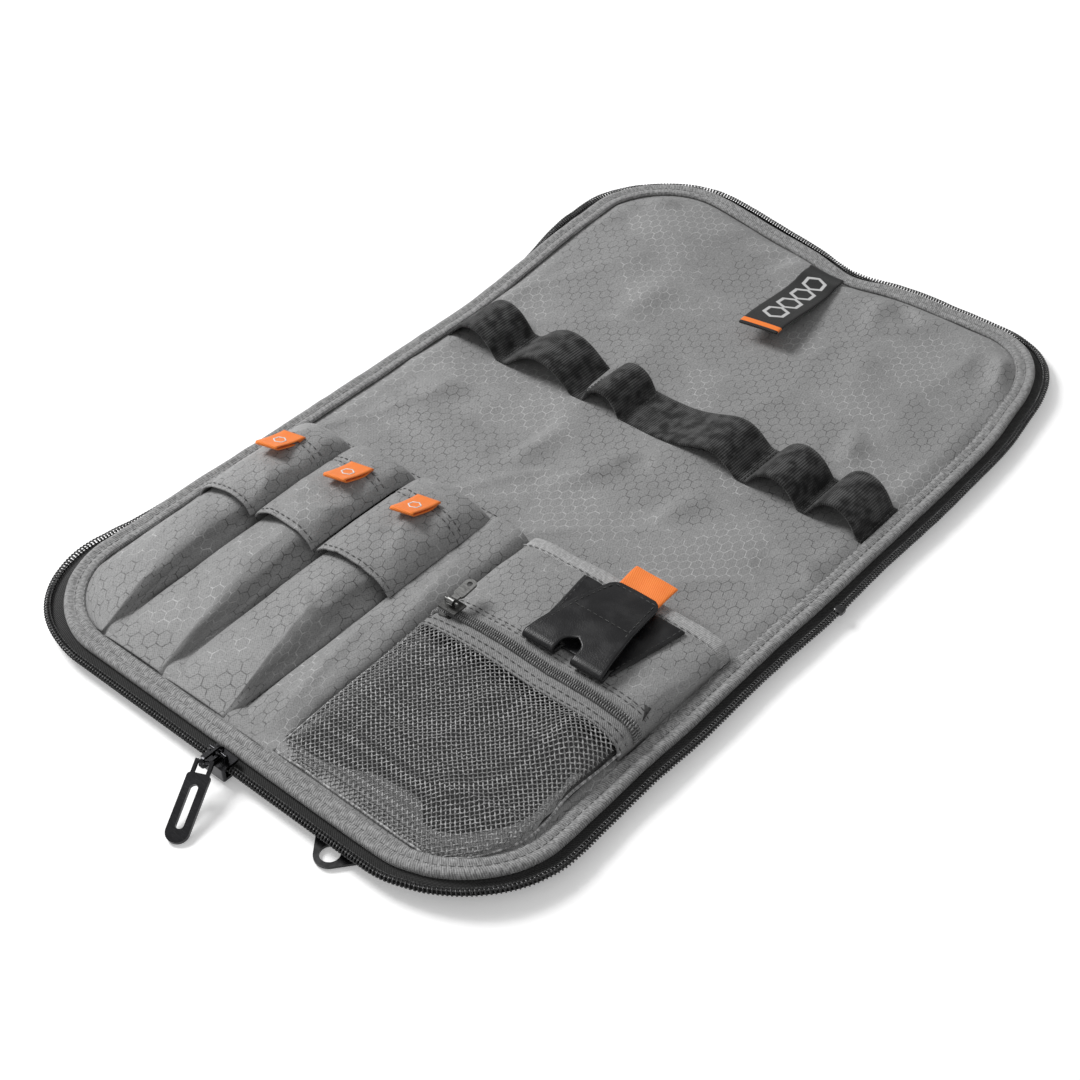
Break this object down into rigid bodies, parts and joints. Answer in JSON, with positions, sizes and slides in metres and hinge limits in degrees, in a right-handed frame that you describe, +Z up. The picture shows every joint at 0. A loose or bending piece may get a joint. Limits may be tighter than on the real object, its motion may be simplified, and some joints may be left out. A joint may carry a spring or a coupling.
{
  "type": "cable organizer pouch",
  "caption": "Book-fold fabric organizer pouch opened flat, with flapped cable pockets, a mesh zip pocket, elastic loops, a leather cable keeper and an edge zip.",
  "frame": {"origin": "on the resting surface, under the middle of the spine between the two halves", "axes": "+X along the short side, +Y from the pocket half to the elastic half, +Z up out of the lining"},
  "size_m": [0.246, 0.4237, 0.0251],
  "materials": {
    "outer_fabric": "plain black woven polyester",
    "binding": "light grey woven binding tape",
    "lining": "grey ripstop with a honeycomb grid",
    "foam": "padding foam, out of sight",
    "board": "stiffener sheet, out of sight",
    "zip_tape": "black herringbone zip tape",
    "zip_coil": "glossy black nylon coil",
    "gunmetal": "gunmetal plated zinc",
    "silver_metal": "nickel plated",
    "black_metal": "gloss black",
    "webbing": "black webbing",
    "orange_ribbon": "orange grosgrain",
    "black_leather": "smooth black leather, stitched edge",
    "mesh": "grey warp-knitted mesh",
    "pocket_zip": "grey zip tape",
    "pocket_coil": "grey nylon coil",
    "hook_and_loop": "hook-and-loop fastener",
    "elastic": "black ribbed elastic",
    "label": "black woven label, orange end"
  },
  "bodies": {
    "near_half": {"near_outer_cover": "outer_fabric", "near_foam": "foam", "near_board": "board", "near_lining": "lining", "near_binding": "binding", "near_zip_tape": "zip_tape", "near_zip_coil": "zip_coil", "cable_pocket_1": "lining", "cable_pocket_2": "lining", "cable_pocket_3": "lining", "pocket_loop_patches": "hook_and_loop", "pen_slot": "lining", "pocket_gusset": "lining", "pocket_divider": "lining", "pocket_mesh": "mesh", "pocket_mesh_trim": "pocket_zip", "pocket_zip_tapes": "pocket_zip", "pocket_zip_coil": "pocket_coil", "pocket_front_panel": "lining", "pocket_mouth_binding": "binding", "keeper_back": "black_leather", "keeper_snap_socket": "silver_metal", "hang_tab_webbing": "webbing"},
    "spine": {"spine_cover": "outer_fabric", "spine_foam": "foam", "spine_lining": "lining", "spine_binding": "binding", "spine_zip_tape": "zip_tape", "spine_zip_coil": "zip_coil", "zip_end_stops": "black_metal"},
    "far_half": {"far_outer_cover": "outer_fabric", "far_foam": "foam", "far_board": "board", "far_lining": "lining", "far_binding": "binding", "far_zip_tape": "zip_tape", "far_zip_coil": "zip_coil", "elastic_strap": "elastic", "woven_label": "label"},
    "flap_1": {"flap_1": "lining", "flap_hook_patch_1": "hook_and_loop", "flap_ribbon_1": "orange_ribbon"},
    "flap_2": {"flap_2": "lining", "flap_hook_patch_2": "hook_and_loop", "flap_ribbon_2": "orange_ribbon"},
    "flap_3": {"flap_3": "lining", "flap_hook_patch_3": "hook_and_loop", "flap_ribbon_3": "orange_ribbon"},
    "keeper_flap": {"keeper_flap": "black_leather", "keeper_snap_stud": "silver_metal", "keeper_ribbon": "orange_ribbon"},
    "zip_slider": {"zip_slider": "gunmetal"},
    "zip_pull_ring": {"zip_pull_ring": "gunmetal"},
    "zip_pull_tab": {"zip_pull_tab": "gunmetal"},
    "pocket_zip_slider": {"pocket_zip_slider": "silver_metal"},
    "pocket_zip_pull": {"pocket_zip_pull": "silver_metal"},
    "hang_tab": {"hang_tab": "black_metal"}
  },
  "joints": [
    {"name": "near_fold", "type": "hinge", "parent": "near_half", "child": "spine", "pos_m": [0, -0.013, 0.008], "axis": [-1, 0, 0], "range_deg": [-90, 0]},
    {"name": "far_fold", "type": "hinge", "parent": "spine", "child": "far_half", "pos_m": [0, 0.013, 0.008], "axis": [-1, 0, 0], "range_deg": [-90, 0]},
    {"name": "flap_1_hinge", "type": "hinge", "parent": "near_half", "child": "flap_1", "pos_m": [0, -0.0465, 0.007], "axis": [-1, 0, 0], "range_deg": [0, 110]},
    {"name": "flap_2_hinge", "type": "hinge", "parent": "near_half", "child": "flap_2", "pos_m": [0, -0.0435, 0.007], "axis": [-1, 0, 0], "range_deg": [0, 110]},
    {"name": "flap_3_hinge", "type": "hinge", "parent": "near_half", "child": "flap_3", "pos_m": [0, -0.0415, 0.007], "axis": [-1, 0, 0], "range_deg": [0, 110]},
    {"name": "keeper_hinge", "type": "hinge", "parent": "near_half", "child": "keeper_flap", "pos_m": [0.069, -0.093, 0.02], "axis": [1, 0, 0], "range_deg": [0, 150]},
    {"name": "zip_slide", "type": "slide", "parent": "near_half", "child": "zip_slider", "axis": [1, 0, 0], "range_m": [-0.07, 0.03]},
    {"name": "ring_hinge", "type": "hinge", "parent": "zip_slider", "child": "zip_pull_ring", "pos_m": [0.003, -0.195, 0.0103], "axis": [-1, 0, 0], "range_deg": [0, 100]},
    {"name": "pull_tab_hinge", "type": "hinge", "parent": "zip_pull_ring", "child": "zip_pull_tab", "pos_m": [0.003, -0.201, 0.0103], "axis": [-0.9107, -0.4131, 0], "range_deg": [0, 70]},
    {"name": "pocket_zip_slide", "type": "slide", "parent": "near_half", "child": "pocket_zip_slider", "axis": [1, 0, 0], "range_m": [0, 0.07]},
    {"name": "pocket_pull_hinge", "type": "hinge", "parent": "pocket_zip_slider", "child": "pocket_zip_pull", "pos_m": [0.0225, -0.1, 0.0225], "axis": [1, 0, 0], "range_deg": [0, 150]},
    {"name": "hang_tab_hinge", "type": "hinge", "parent": "near_half", "child": "hang_tab", "pos_m": [0.0575, -0.1875, 0.00125], "axis": [1, 0, 0], "range_deg": [0, 90]}
  ],
  "couplings": [
    {"joint": "far_fold", "follows": "near_fold", "ratio": 1}
  ]
}
